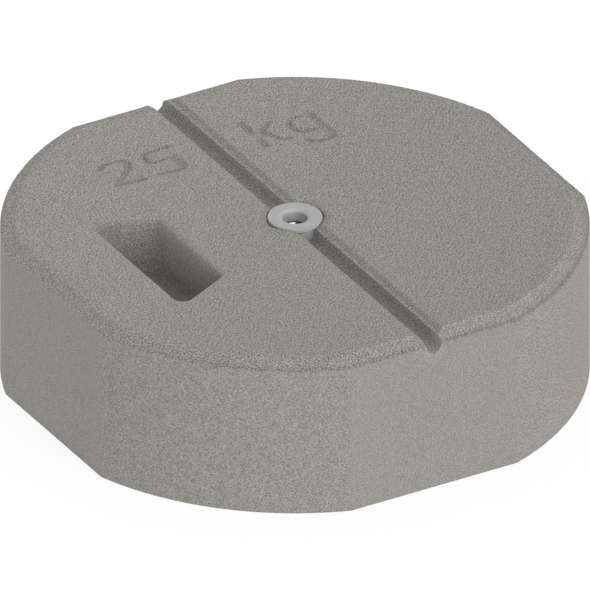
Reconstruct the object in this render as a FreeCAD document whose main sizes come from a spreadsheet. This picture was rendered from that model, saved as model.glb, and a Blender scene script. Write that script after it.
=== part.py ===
import FreeCAD, Part
import math
import os
import Sketcher

os.makedirs("parts", exist_ok=True)
doc = FreeCAD.newDocument("umbrella_base")

# Driving sizes, in millimetres and degrees. The origin is the centre of the underside, and up is +Z.
driving_sizes = {
    "plan_diameter": 371.8,
    "flat_inset": 10.0,
    "block_height": 108.8,
    "band_width": 10.2,
    "band_drop": 5.2,
    "channel_width": 12.6,
    "channel_depth": 11.0,
    "channel_round": 5.35,
    "lead_in_width": 5.0,
    "lead_in_depth": 2.0,
    "pocket_reach": 116.9,
    "pocket_length": 41.9,
    "pocket_outer_span": 119.4,
    "pocket_inner_span": 78.9,
    "pocket_depth": 36.7,
    "pocket_draft": 3.0,
    "pocket_outer_round": 6.0,
    "pocket_inner_round": 6.0,
    "pocket_rim_round": 3.0,
    "pocket_floor_round": 6.0,
    "flange_diameter": 35.0,
    "flange_thickness": 2.4,
    "flange_proud": 0.8,
    "flange_edge_round": 1.0,
    "flange_gap": 1.0,
    "neck_diameter": 31.0,
    "neck_length": 11.6,
    "neck_angle": 45.0,
    "sleeve_diameter": 20.0,
    "sleeve_length": 24.0,
    "bore_diameter": 16.0,
    "mouth_chamfer": 2.0,
    "bore_depth": 8.6,
    "socket_diameter": 17.0,
    "socket_length": 52.0,
    "thread_diameter": 10.2,
    "thread_depth": 40.0,
    "thread_lead_in": 1.9,
    "drill_point_angle": 59.0,
    "foot_diameter": 24.0,
    "foot_thickness": 4.0,
    "cast_in_fit": 0.1,
}
sheet = doc.addObject("Spreadsheet::Sheet", "Sizes")
for row, (alias, number) in enumerate(driving_sizes.items(), start=1):
    sheet.set(f"A{row}", alias)
    sheet.set(f"B{row}", str(number))
    sheet.setAlias(f"B{row}", alias)
doc.recompute()

# Heights and reaches that more than one piece uses, as expressions on the sheet
flat_reach = "(Sizes.plan_diameter / 2 - Sizes.flat_inset)"
bore_radius = "Sizes.bore_diameter / 2"
sleeve_radius = "Sizes.sleeve_diameter / 2"
neck_radius = "Sizes.neck_diameter / 2"
flange_radius = "Sizes.flange_diameter / 2"
foot_radius = "Sizes.foot_diameter / 2"
thread_radius = "Sizes.thread_diameter / 2"
socket_radius = "Sizes.socket_diameter / 2"
socket_seat_radius = f"({socket_radius} + Sizes.cast_in_fit)"
flange_top = "(Sizes.block_height + Sizes.flange_proud)"
flange_seat = f"({flange_top} - Sizes.flange_thickness)"
neck_drop = f"(({neck_radius} - {sleeve_radius}) / tan(Sizes.neck_angle * 1deg))"
neck_shoulder = f"({flange_seat} - Sizes.neck_length)"
neck_foot = f"({neck_shoulder} - {neck_drop})"
sleeve_foot = f"({flange_top} - Sizes.sleeve_length)"
socket_top = f"({flange_top} - Sizes.bore_depth)"
socket_foot = f"({socket_top} - Sizes.socket_length)"
foot_top = f"({socket_foot} + Sizes.foot_thickness)"
thread_floor = f"({socket_top} - Sizes.thread_depth)"

# The four flats: a name, the plane that cuts across them and the side they are on
FLAT_SIDES = [
    ("right", "XZ_Plane", ""),
    ("left", "XZ_Plane", "-"),
    ("far", "YZ_Plane", ""),
    ("near", "YZ_Plane", "-"),
]


def value(expression):
    """The number that an expression on the sheet stands for."""
    result = sheet.evalExpression(expression)
    return float(getattr(result, "Value", result))


def new_body(name):
    body = doc.addObject("PartDesign::Body", name)
    body.Label = name
    return body


def new_sketch(body, name, role, height=None):
    """A sketch on one of the body's own origin planes, raised by an expression where one is given."""
    sketch = body.newObject("Sketcher::SketchObject", name)
    plane = next(item for item in body.Origin.OriginFeatures if item.Role == role)
    sketch.AttachmentSupport = [(plane, "")]
    sketch.MapMode = "FlatFace"
    if height:
        sketch.setExpression("AttachmentOffset.Base.z", height)
    return sketch


def bind(sketch, constraint, expression):
    index = sketch.addConstraint(constraint)
    sketch.setExpression(f"Constraints[{index}]", expression)


def pin_along(sketch, kind, axis, geometry, end, expression):
    """Hold one coordinate of a point: kind is DistanceX or DistanceY, axis the sketch axis it is zero on."""
    distance = value(expression)
    if abs(distance) < 1e-9:
        sketch.addConstraint(Sketcher.Constraint("PointOnObject", geometry, end, axis))
    elif distance > 0:
        bind(sketch, Sketcher.Constraint(kind, -1, 1, geometry, end, distance), expression)
    else:
        bind(sketch, Sketcher.Constraint(kind, geometry, end, -1, 1, -distance), f"-({expression})")


def pin(sketch, geometry, end, across, up):
    pin_along(sketch, "DistanceX", -2, geometry, end, across)
    pin_along(sketch, "DistanceY", -1, geometry, end, up)


def draw_polygon(sketch, corners):
    """A closed outline of straight lines whose corners are pairs of expressions."""
    points = [FreeCAD.Vector(value(across), value(up), 0) for across, up in corners]
    count = len(points)
    for index in range(count):
        sketch.addGeometry(Part.LineSegment(points[index], points[(index + 1) % count]), False)
    for index in range(count):
        sketch.addConstraint(Sketcher.Constraint("Coincident", index, 2, (index + 1) % count, 1))
    for index, (across, up) in enumerate(corners):
        pin(sketch, index, 1, across, up)


def draw_plan(sketch):
    """Four flats joined by four arcs of one circle about the origin."""
    radius = value("Sizes.plan_diameter / 2")
    reach = value(flat_reach)
    half_flat = math.sqrt(radius**2 - reach**2)
    flat_angle = math.atan2(half_flat, reach)
    circle = Part.Circle(FreeCAD.Vector(0, 0, 0), FreeCAD.Vector(0, 0, 1), radius)
    for quarter in range(4):
        turn = FreeCAD.Rotation(FreeCAD.Vector(0, 0, 1), 90 * quarter)
        start = turn.multVec(FreeCAD.Vector(reach, -half_flat, 0))
        finish = turn.multVec(FreeCAD.Vector(reach, half_flat, 0))
        first_angle = math.pi / 2 * quarter + flat_angle
        last_angle = math.pi / 2 * (quarter + 1) - flat_angle
        sketch.addGeometry(Part.LineSegment(start, finish), False)
        sketch.addGeometry(Part.ArcOfCircle(circle, first_angle, last_angle), False)
    for quarter in range(4):
        flat = 2 * quarter
        arc = flat + 1
        next_flat = (flat + 2) % 8
        sketch.addConstraint(Sketcher.Constraint("Coincident", flat, 2, arc, 1))
        sketch.addConstraint(Sketcher.Constraint("Coincident", arc, 2, next_flat, 1))
        sketch.addConstraint(Sketcher.Constraint("Coincident", arc, 3, -1, 1))
        sketch.addConstraint(Sketcher.Constraint("Vertical" if quarter % 2 == 0 else "Horizontal", flat))
    bind(sketch, Sketcher.Constraint("Radius", 1, radius), "Sizes.plan_diameter / 2")
    pin_along(sketch, "DistanceX", -2, 0, 1, flat_reach)
    pin_along(sketch, "DistanceY", -1, 2, 1, flat_reach)
    pin_along(sketch, "DistanceX", -2, 4, 1, f"-{flat_reach}")
    pin_along(sketch, "DistanceY", -1, 6, 1, f"-{flat_reach}")


def band_profile(reach, sign):
    """The space above the sloping band that ends at a reach, on the side that the sign gives."""
    inner = f"{sign}({reach} - Sizes.band_width)"
    edge = f"{sign}({reach})"
    clear = f"{sign}({reach} + Sizes.band_width)"
    shoulder = "(Sizes.block_height - Sizes.band_drop)"
    above = "(Sizes.block_height + Sizes.band_drop)"
    return [(inner, "Sizes.block_height"), (edge, shoulder), (clear, shoulder), (clear, above), (inner, above)]


def draw_channel(sketch):
    """Sloping lead-ins, drafted walls tangent to a round bottom, and a straight closing line on top."""
    top = "Sizes.block_height"
    shoulder = "(Sizes.block_height - Sizes.lead_in_depth)"
    half_mouth = "(Sizes.channel_width / 2 + Sizes.lead_in_width)"
    half_width = "(Sizes.channel_width / 2)"
    centre_height = "(Sizes.block_height - Sizes.channel_depth + Sizes.channel_round)"
    radius = value("Sizes.channel_round")
    centre = FreeCAD.Vector(0, value(centre_height), 0)
    wall_top = FreeCAD.Vector(value(half_width), value(shoulder), 0)
    reach = wall_top - centre
    contact_angle = math.atan2(reach.y, reach.x) - math.acos(radius / reach.Length)
    contact = centre + FreeCAD.Vector(math.cos(contact_angle), math.sin(contact_angle), 0) * radius
    mouth = FreeCAD.Vector(value(half_mouth), value(top), 0)
    circle = Part.Circle(centre, FreeCAD.Vector(0, 0, 1), radius)

    def mirrored(point):
        return FreeCAD.Vector(-point.x, point.y, 0)

    sketch.addGeometry(Part.LineSegment(mirrored(mouth), mirrored(wall_top)), False)
    sketch.addGeometry(Part.LineSegment(mirrored(wall_top), mirrored(contact)), False)
    sketch.addGeometry(Part.ArcOfCircle(circle, math.pi - contact_angle, 2 * math.pi + contact_angle), False)
    sketch.addGeometry(Part.LineSegment(contact, wall_top), False)
    sketch.addGeometry(Part.LineSegment(wall_top, mouth), False)
    sketch.addGeometry(Part.LineSegment(mouth, mirrored(mouth)), False)
    sketch.addConstraint(Sketcher.Constraint("Coincident", 0, 2, 1, 1))
    sketch.addConstraint(Sketcher.Constraint("Tangent", 1, 2, 2, 1))
    sketch.addConstraint(Sketcher.Constraint("Tangent", 2, 2, 3, 1))
    sketch.addConstraint(Sketcher.Constraint("Coincident", 3, 2, 4, 1))
    sketch.addConstraint(Sketcher.Constraint("Coincident", 4, 2, 5, 1))
    sketch.addConstraint(Sketcher.Constraint("Coincident", 5, 2, 0, 1))
    bind(sketch, Sketcher.Constraint("Radius", 2, radius), "Sizes.channel_round")
    pin(sketch, 2, 3, "0", centre_height)
    pin(sketch, 0, 1, f"-{half_mouth}", top)
    pin(sketch, 1, 1, f"-{half_width}", shoulder)
    pin(sketch, 4, 1, half_width, shoulder)
    pin(sketch, 5, 1, half_mouth, top)


def edges_where(feature, test):
    """Names of the feature's edges that pass a test on their bounding box."""
    named = enumerate(feature.Shape.Edges, start=1)
    return [f"Edge{number}" for number, edge in named if test(edge.BoundBox)]


def near(first, second, tolerance=0.02):
    return abs(first - second) < tolerance


def level_at(height):
    return lambda box: near(box.ZMin, height) and near(box.ZMax, height)


def dress(body, kind, name, base, edges, **expressions):
    """A fillet or chamfer on named edges of the feature before it."""
    feature = body.newObject(f"PartDesign::{kind}", name)
    feature.Base = (base, edges)
    for setting, expression in expressions.items():
        feature.setExpression(setting, expression)
    doc.recompute()
    return feature


def revolve(body, kind, name, sketch):
    """A full turn of a half profile about the sketch's vertical axis, added or cut away."""
    feature = body.newObject(f"PartDesign::{kind}", name)
    feature.Profile = sketch
    feature.ReferenceAxis = (sketch, ["V_Axis"])
    feature.Angle = 360
    doc.recompute()
    return feature


def make_concrete_weight():
    """The cast block: plan, sloping band, channel, hand pocket and the seat of the pieces cast in."""
    body = new_body("concrete_weight")
    plan = new_sketch(body, "plan_sketch", "XY_Plane")
    draw_plan(plan)
    block = body.newObject("PartDesign::Pad", "block_pad")
    block.Profile = plan
    block.setExpression("Length", "Sizes.block_height")
    doc.recompute()

    # The band slopes down all round the top: one cut round the arcs and one along each flat
    arc_sketch = new_sketch(body, "arc_band_sketch", "XZ_Plane")
    draw_polygon(arc_sketch, band_profile("Sizes.plan_diameter / 2", ""))
    revolve(body, "Groove", "arc_band", arc_sketch)
    for name, role, sign in FLAT_SIDES:
        flat_sketch = new_sketch(body, f"{name}_band_sketch", role)
        draw_polygon(flat_sketch, band_profile(flat_reach, sign))
        flat_band = body.newObject("PartDesign::Pocket", f"{name}_band")
        flat_band.Profile = flat_sketch
        flat_band.Midplane = True
        flat_band.Type = "ThroughAll"
        doc.recompute()

    # The channel runs right across the top and out of two opposite flats
    section = new_sketch(body, "channel_sketch", "XZ_Plane")
    draw_channel(section)
    channel = body.newObject("PartDesign::Pocket", "channel_cut")
    channel.Profile = section
    channel.Midplane = True
    channel.Type = "ThroughAll"
    doc.recompute()

    # The hand pocket is a blind trapezoid with drafted walls, wider towards the rim of the block
    outer_side = "-Sizes.pocket_reach"
    inner_side = "-(Sizes.pocket_reach - Sizes.pocket_length)"
    trapezoid = new_sketch(body, "pocket_sketch", "XY_Plane", "Sizes.block_height")
    draw_polygon(
        trapezoid,
        [
            (outer_side, "-Sizes.pocket_outer_span / 2"),
            (inner_side, "-Sizes.pocket_inner_span / 2"),
            (inner_side, "Sizes.pocket_inner_span / 2"),
            (outer_side, "Sizes.pocket_outer_span / 2"),
        ],
    )
    pocket = body.newObject("PartDesign::Pocket", "hand_pocket")
    pocket.Profile = trapezoid
    pocket.Type = "Length"
    pocket.setExpression("Length", "Sizes.pocket_depth")
    pocket.setExpression("TaperAngle", "-Sizes.pocket_draft")
    doc.recompute()
    pocket = dress_pocket(body, pocket)

    # The seat is the space that the bush and the socket fill, cut by one half profile
    seat_sketch = new_sketch(body, "seat_sketch", "XZ_Plane")
    draw_polygon(seat_sketch, seat_profile())
    revolve(body, "Groove", "bush_seat", seat_sketch)
    return body


def dress_pocket(body, pocket):
    """Round the pocket's corners, its floor and its rim; returns the last feature."""
    rim_height = value("Sizes.block_height")
    floor_height = value("Sizes.block_height - Sizes.pocket_depth")
    outer_line = value("-Sizes.pocket_reach")
    inner_line = value("Sizes.pocket_length - Sizes.pocket_reach")

    def corner_at(line):
        def test(box):
            full_depth = near(box.ZMax, rim_height) and near(box.ZMin, floor_height)
            return full_depth and (near(box.XMin, line) or near(box.XMax, line))

        return test

    outer_edges = edges_where(pocket, corner_at(outer_line))
    outer_corners = dress(
        body, "Fillet", "pocket_outer_corners", pocket, outer_edges, Radius="Sizes.pocket_outer_round"
    )
    inner_edges = edges_where(outer_corners, corner_at(inner_line))
    inner_corners = dress(
        body, "Fillet", "pocket_inner_corners", outer_corners, inner_edges, Radius="Sizes.pocket_inner_round"
    )
    half_outer_span = value("Sizes.pocket_outer_span / 2")
    slack = 0.02

    def on_rim(box):
        along = box.XMin > outer_line - slack and box.XMax < inner_line + slack
        across = max(-box.YMin, box.YMax) < half_outer_span + slack
        return level_at(rim_height)(box) and along and across

    floor_edges = edges_where(inner_corners, level_at(floor_height))
    floor = dress(body, "Fillet", "pocket_floor", inner_corners, floor_edges, Radius="Sizes.pocket_floor_round")
    rim_edges = edges_where(floor, on_rim)
    return dress(body, "Fillet", "pocket_rim", floor, rim_edges, Radius="Sizes.pocket_rim_round")


def seat_profile():
    """Half outline of the cut for the pieces cast in: their own outline, wider by the fit."""
    recess_radius = f"({flange_radius} + Sizes.flange_gap)"
    neck_seat = f"({neck_radius} + Sizes.cast_in_fit)"
    sleeve_seat = f"({sleeve_radius} + Sizes.cast_in_fit)"
    shoulder_fit = "Sizes.cast_in_fit * tan(Sizes.neck_angle * 0.5deg)"
    seat_shoulder = f"({neck_shoulder} - {shoulder_fit})"
    seat_foot = f"({neck_foot} - {shoulder_fit})"
    foot_seat = f"({foot_radius} + Sizes.cast_in_fit)"
    foot_roof = f"({foot_top} + Sizes.cast_in_fit)"
    return [
        ("0", "Sizes.block_height"),
        ("0", socket_foot),
        (foot_seat, socket_foot),
        (foot_seat, foot_roof),
        (socket_seat_radius, foot_roof),
        (socket_seat_radius, sleeve_foot),
        (sleeve_seat, sleeve_foot),
        (sleeve_seat, seat_foot),
        (neck_seat, seat_shoulder),
        (neck_seat, flange_seat),
        (recess_radius, flange_seat),
        (recess_radius, "Sizes.block_height"),
    ]


def make_centre_bush():
    """The moulded bush: round flange, neck, and a sleeve whose bore steps out over the socket."""
    body = new_body("centre_bush")
    profile = new_sketch(body, "bush_sketch", "XZ_Plane")
    mouth_radius = f"({bore_radius} + Sizes.mouth_chamfer)"
    mouth_foot = f"({flange_top} - Sizes.mouth_chamfer)"
    draw_polygon(
        profile,
        [
            (bore_radius, socket_top),
            (socket_seat_radius, socket_top),
            (socket_seat_radius, sleeve_foot),
            (sleeve_radius, sleeve_foot),
            (sleeve_radius, neck_foot),
            (neck_radius, neck_shoulder),
            (neck_radius, flange_seat),
            (flange_radius, flange_seat),
            (flange_radius, flange_top),
            (mouth_radius, flange_top),
            (bore_radius, mouth_foot),
        ],
    )
    turned = revolve(body, "Revolution", "bush_turn", profile)
    top_height = value(flange_top)
    rim_reach = value(flange_radius)
    rim_edges = edges_where(turned, lambda box: level_at(top_height)(box) and near(box.XMax, rim_reach))
    dress(body, "Fillet", "flange_edge", turned, rim_edges, Radius="Sizes.flange_edge_round")
    return body


def make_threaded_socket():
    """The steel socket: a plain tube, a foot that anchors it, and a blind hole at the thread's inner size."""
    body = new_body("threaded_socket")
    profile = new_sketch(body, "socket_sketch", "XZ_Plane")
    lead_in_radius = f"({thread_radius} + Sizes.thread_lead_in)"
    lead_in_foot = f"({socket_top} - Sizes.thread_lead_in)"
    drill_point = f"({thread_floor} - {thread_radius} / tan(Sizes.drill_point_angle * 1deg))"
    draw_polygon(
        profile,
        [
            ("0", socket_foot),
            (foot_radius, socket_foot),
            (foot_radius, foot_top),
            (socket_radius, foot_top),
            (socket_radius, socket_top),
            (lead_in_radius, socket_top),
            (thread_radius, lead_in_foot),
            (thread_radius, thread_floor),
            ("0", drill_point),
        ],
    )
    revolve(body, "Revolution", "socket_turn", profile)
    return body


pieces = [make_concrete_weight(), make_centre_bush(), make_threaded_socket()]
doc.recompute()

# Nothing is written unless every feature and every piece is sound
for item in doc.Objects:
    broken = [state for state in item.State if state in ("Invalid", "Error")]
    if broken:
        raise RuntimeError(f"{item.Label} is {broken}")
for piece in pieces:
    shape = piece.Shape
    if shape.isNull() or not shape.isValid() or len(shape.Solids) != 1:
        raise RuntimeError(f"{piece.Label} is not one valid solid")
    piece.Placement = FreeCAD.Placement()
    shape.exportStep(f"parts/{piece.Label}.step")
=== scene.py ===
import bmesh
import bpy
import math
import numpy as np
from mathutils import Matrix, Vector
from mathutils.geometry import delaunay_2d_cdt


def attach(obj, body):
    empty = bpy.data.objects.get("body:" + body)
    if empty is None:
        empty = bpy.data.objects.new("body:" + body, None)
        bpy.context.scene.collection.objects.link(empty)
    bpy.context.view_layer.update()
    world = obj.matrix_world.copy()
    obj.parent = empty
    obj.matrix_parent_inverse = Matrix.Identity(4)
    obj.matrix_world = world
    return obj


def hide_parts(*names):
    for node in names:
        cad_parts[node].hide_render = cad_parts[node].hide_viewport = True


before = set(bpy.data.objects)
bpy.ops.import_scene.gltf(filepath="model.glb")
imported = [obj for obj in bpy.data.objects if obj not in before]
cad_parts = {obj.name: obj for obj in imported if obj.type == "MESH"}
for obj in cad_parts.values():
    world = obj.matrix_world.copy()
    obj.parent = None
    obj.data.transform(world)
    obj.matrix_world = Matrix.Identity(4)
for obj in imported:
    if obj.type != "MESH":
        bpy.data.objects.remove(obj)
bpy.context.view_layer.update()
millimetre = 0.001
random = np.random.default_rng(25)

# the cast block, in millimetres and degrees; depths are measured down from its top face, azimuths from the
# right flat; a tone multiplies the colour of the concrete, a grain multiplies its sandy relief

block = {
    "radius": 185.9,       # centre to the round sides
    "flatReach": 175.9,    # centre to the four flats
    "height": 108.8,
    "bandWidth": 10.2,     # the slope round the top, across
    "bandDrop": 5.2,       # and down
    "footRound": 0.8,
    "footSteps": 4,
    "crease": 15,          # degrees past which an edge looks sharp
    "endSteps": 48,        # columns from the channel to a corner of the plan
    "arcSteps": 136,
    "sideSteps": 96,
    "wallRows": 13,
    "flatGrain": 0.5,      # the flats came off a smoother form than the rest
    "arcGrain": 0.75,
    "bandGrain": 1.2,
    "underGrain": 0.6,
    "underTone": 0.97,
    "underRings": [1.0, 0.985, 0.94, 0.86, 0.74, 0.6, 0.45, 0.3, 0.15, 0.0],
}
edge = {
    # the broken edge between band and wall: how deep its pits go above, at and below it, and how much they
    # change its tone; the edge behind has worn back as a whole, by azimuth
    "pits": [0.10, 0.38, 0.12],
    "pitColumns": 3,
    "pitShade": 0.10,
    "seamColumns": 6,
    "azimuth": [0, 15, 30, 60, 80, 100, 145, 160, 360],
    "wornBack": [0, 0.08, 0.34, 0.34, 0.2, 0.17, 0.14, 0.08, 0],
    "shareAbove": 0.3,
}
skin = {
    "band": 0.975,
    "bandSwing": 0.065,    # lighter where the band faces the light, darker where it faces away
    "lightest": 290,
    "ridgeDepths": [0, 0.5, 1.1],
    "lowBandDepths": [1.2, 1.9],
    "footLight": 0.10,
    "footFade": 26,
    # depths at which the painted shade line along the edge is drawn; where roundPlan sets it below zero it
    # is a painted light line
    "edgeShadeDepths": [3.55, 4.4, 5.3, 6.2],
    "edgeShadeShares": [0, 1, 0.95, 0],
}
roundPlan = {
    # what is added round the plan: strength of the painted shade line along the edge, painted light and
    # shade on the band, on its upper edge and on its lower part, grain of the band, and painted light and
    # shade on the wall and on its foot
    "azimuth": [0, 18, 24, 150, 165, 180, 195, 205, 225, 247, 262, 293, 315, 330, 342, 360],
    "edgeShade": [0.05, 0.05, 0.08, 0.08, -0.04, -0.05, -0.04, 0.08, 0.16, 0.18, 0.22, 0.25, 0.21, 0.18,
             0.05, 0.05],
    "bandTone": [0, 0, 0, 0.03, -0.03, -0.04, -0.04, -0.035, -0.02, 0.005, 0.02, 0.03, 0.02, 0.015, 0, 0],
    "ridge": [0, 0, 0, 0.03, 0.05, 0.05, 0.05, 0, 0, 0.01, 0.08, 0.08, 0.04, 0.03, 0, 0],
    "lowBand": [-0.13, -0.13, 0, 0, 0, 0, 0, 0, 0, 0, 0, 0, 0, 0, -0.12, -0.13],
    "bandGrain": [-0.2, -0.2, 0, 0, -0.15, -0.15, -0.15, 0, 0, 0, -0.1, -0.25, -0.3, -0.3, -0.2, -0.2],
    "wallTone": [-0.01, -0.01, 0, 0, 0, 0, -0.01, 0, 0.025, 0.01, -0.018, -0.014, -0.014, -0.02, -0.02,
                 -0.01],
    "footLight": [0, 0, 0, 0, 0.075, 0.06, 0.04, 0.03, 0.02, 0.01, 0, 0, 0, 0, 0, 0],
}
channel = {
    "halfWidth": 6.3,
    "depth": 11.0,
    "round": 5.35,
    "roundSteps": 10,
    "leadWidth": 5.0,
    "leadDepth": 2.0,
    # points down the lead-in as shares of its depth, above the recess floor's and below it, where the arris
    # of the wall is broken; then points down the wall as depths
    "leadShares": [0, 0.25, 0.5, 0.65],
    "arrisShare": 0.9,
    "wallDepths": [2.7, 2.95, 3.7, 4.5, 6.0],
    "steps": 90,           # along each run, from the flat to the bush
    # painted light and shade down each side of the section, by depth: darker in the lead-ins and down the
    # walls, with a painted highlight along the broken arris
    "toneDepths": [0, 0.5, 1.5, 1.8, 2.7, 2.95, 11],
    "leftTone": [1.03, 1.0, 0.95, 0.98, 1.2, 0.95, 0.88],
    "rightTone": [0.98, 0.83, 0.80, 1.08, 1.42, 0.95, 0.88],
}
seat = {
    "recess": 18.5,        # round the flange
    "recessDepth": 1.6,
    "neck": 15.6,
    "steps": 60,
    "rings": 6,
    # painted shade on the recess wall, and on the recess floor, the neck wall and the hole
    "wallTone": 0.85,
    "floorTone": 0.8,
    # the hole under the recess, radius and depth, 0.1 clear of the neck, the sleeve and the socket
    "hole": [(15.6, 11.0), (15.6, 13.241), (10.1, 18.741), (10.1, 23.2), (8.6, 23.2), (8.6, 55.7),
             (12.1, 55.7), (12.1, 59.8), (0.0, 59.8)],
}


def gridFaces(rows, columns):
    # quads of a grid whose points run row by row
    index = np.arange(rows * columns).reshape(rows, columns)
    corners = [index[:-1, :-1], index[1:, :-1], index[1:, 1:], index[:-1, 1:]]
    return np.stack(corners, axis=-1).reshape(-1, 4)


blockPatches = []


def addGrid(x, y, depth, grain=1.0, tone=1.0):
    # a grid of the block's skin, one patch of those that putMesh joins
    x, y, depth, grain, tone = np.broadcast_arrays(x, y, depth, grain, tone)
    points = np.stack([x, y, block["height"] - depth], axis=-1).reshape(-1, 3)
    blockPatches.append((points, gridFaces(*x.shape), grain.flatten(), tone.flatten()))


def around(azimuth, share):
    # one line of roundPlan at these azimuths
    return np.interp(azimuth, roundPlan["azimuth"], roundPlan[share])


def azimuthOf(x, y):
    return np.degrees(np.arctan2(y, x)) % 360


def seamFade(count):
    # 0 at both ends of a line and 1 inside, so that a moved line still meets the channel's rims
    place = np.arange(count)
    return np.clip(np.minimum(place, count - 1 - place) / edge["seamColumns"], 0, 1)


def wander(count):
    # random heights along a line, blurred over neighbours, scaled to about -1 to 1, faded out at both ends
    reach = edge["pitColumns"]
    kernel = np.hanning(reach + 2)[1:-1]
    line = np.convolve(random.standard_normal(count + reach - 1), kernel / np.linalg.norm(kernel), "valid")
    return np.clip(line / 2, -1, 1) * seamFade(count)


def halfOutline(inset, start):
    # right half of the plan for each row: x from start along the near flat, round the arcs and the side
    # flat, and back to x = start on the far flat, everything moved in by the inset
    inset = np.asarray(inset, float)[:, None]
    start = np.asarray(start, float)[:, None]
    radius = block["radius"] - inset
    reach = block["flatReach"] - inset
    corner = np.arccos(reach / radius)
    half = radius * np.sin(corner)
    along = np.linspace(0, 1, block["endSteps"] + 1)
    turn = np.linspace(0, 1, block["arcSteps"] + 1)[:-1]
    sideY = half * (2 * np.linspace(0, 1, block["sideSteps"] + 1)[:-1] - 1)
    nearX = start + (half - start) * along[:-1]
    farX = half + (start - half) * along
    nearAngle = corner - math.pi / 2 + (math.pi / 2 - 2 * corner) * turn
    farAngle = corner + (math.pi / 2 - 2 * corner) * turn
    x = [nearX, radius * np.cos(nearAngle), reach + 0 * sideY, radius * np.cos(farAngle), farX]
    y = [-reach + 0 * nearX, radius * np.sin(nearAngle), sideY, radius * np.sin(farAngle), reach + 0 * farX]
    return np.hstack(x), np.hstack(y)


# half section of the channel: sloping lead-in, drafted wall tangent to the round bottom, then the round
centreDepth = channel["depth"] - channel["round"]
wallReach = math.hypot(channel["halfWidth"], centreDepth - channel["leadDepth"])
contactAngle = math.atan2(centreDepth - channel["leadDepth"], channel["halfWidth"])
contactAngle -= math.acos(channel["round"] / wallReach)
contactX = channel["round"] * math.cos(contactAngle)
contactDepth = centreDepth - channel["round"] * math.sin(contactAngle)
recessRow = len(channel["leadShares"])
recessShare = seat["recessDepth"] / channel["leadDepth"]
leadShare = np.array(channel["leadShares"] + [recessShare, channel["arrisShare"]])
wallDepth = np.sort(channel["wallDepths"] + [block["bandDrop"], contactDepth])
wallShare = (wallDepth - channel["leadDepth"]) / (contactDepth - channel["leadDepth"])
roundAngle = np.linspace(contactAngle, -math.pi / 2, channel["roundSteps"] + 1)[1:]
sectionX = np.concatenate([
    channel["halfWidth"] + channel["leadWidth"] * (1 - leadShare),
    channel["halfWidth"] + (contactX - channel["halfWidth"]) * wallShare,
    channel["round"] * np.cos(roundAngle),
])
sectionX[-1] = 0.0
sectionDepth = np.concatenate([
    channel["leadDepth"] * leadShare,
    wallDepth,
    centreDepth - channel["round"] * np.sin(roundAngle),
])
sectionInset = block["bandWidth"] * np.clip(1 - sectionDepth / block["bandDrop"], 0, None)

# rows of the outer skin: band and wall down the channel's own levels, then the wall and its foot round
wallLevels = np.linspace(channel["depth"], block["height"] - block["footRound"], block["wallRows"] + 1)[1:]
footAngle = np.linspace(0, math.pi / 2, block["footSteps"] + 1)[1:]
rowInset = np.concatenate([sectionInset, 0 * wallLevels, block["footRound"] * (1 - np.cos(footAngle))])
rowDepth = np.concatenate([
    sectionDepth,
    wallLevels,
    block["height"] - block["footRound"] * (1 - np.sin(footAngle)),
])
rowStart = np.concatenate([sectionX, 0 * wallLevels, 0 * footAngle])
outlineX, outlineY = halfOutline(rowInset, rowStart)
columns = outlineX.shape[1]
edgeRow = int(np.argmin(abs(rowDepth - block["bandDrop"])))
onWall = np.arange(len(rowDepth))[:, None] > edgeRow


def onFlats():
    # columns of the near, right and far flats
    place = np.arange(columns)
    sideStart = block["endSteps"] + block["arcSteps"]
    onSideFlat = (place >= sideStart) & (place <= sideStart + block["sideSteps"])
    return (place <= block["endSteps"]) | onSideFlat | (place >= columns - block["endSteps"] - 1)


def brokenEdge(side):
    # share of each point's reach that is left when the rows near the edge are pulled in along the radius
    pull = np.zeros((len(rowDepth), columns))
    for row, depth in zip((edgeRow - 1, edgeRow, edgeRow + 1), edge["pits"]):
        pull[row] = depth * abs(wander(columns))
    azimuth = azimuthOf(side * outlineX[edgeRow], outlineY[edgeRow])
    wornBack = np.interp(azimuth, edge["azimuth"], edge["wornBack"]) * seamFade(columns)
    pull[edgeRow] += wornBack
    pull[edgeRow - 1] += edge["shareAbove"] * wornBack
    return 1 - pull / np.hypot(outlineX, outlineY)


def skinTone(azimuth, depth):
    # painted light and shade: the band goes with the cosine of its turn from the light, the wall gains light
    # towards its foot by a falling exponential, what roundPlan adds comes on top, and the painted shade line
    # along the edge changes both
    band = skin["band"] + skin["bandSwing"] * np.cos(np.radians(azimuth - skin["lightest"]))
    band = band + around(azimuth, "bandTone")
    band = band + around(azimuth, "ridge") * np.interp(depth, skin["ridgeDepths"], [0, 1, 0])
    band = band + around(azimuth, "lowBand") * np.interp(depth, skin["lowBandDepths"], [0, 1])
    footLight = skin["footLight"] + around(azimuth, "footLight")
    footLight = footLight * np.exp((depth - block["height"]) / skin["footFade"])
    wall = 1 + around(azimuth, "wallTone") + footLight
    edgeShade = around(azimuth, "edgeShade") * np.interp(depth, skin["edgeShadeDepths"], skin["edgeShadeShares"])
    return np.where(onWall, wall, band) * (1 - edgeShade)


for side in (-1, 1):
    spread = brokenEdge(side)
    x = outlineX * spread
    y = outlineY * spread
    azimuth = azimuthOf(side * x, y)
    tone = skinTone(azimuth, rowDepth[:, None])
    tone[edgeRow] *= 1 - edge["pitShade"] * wander(columns)
    wallGrain = np.where(onFlats(), block["flatGrain"], block["arcGrain"])
    grain = np.where(onWall, wallGrain, block["bandGrain"] + around(azimuth, "bandGrain"))
    addGrid(side * x, y, rowDepth[:, None], grain, tone)
    ring = np.array(block["underRings"])[:, None]
    addGrid(side * x[-1] * ring, y[-1] * ring, block["height"], block["underGrain"], block["underTone"])
print("block skin", outlineX.shape)

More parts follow.
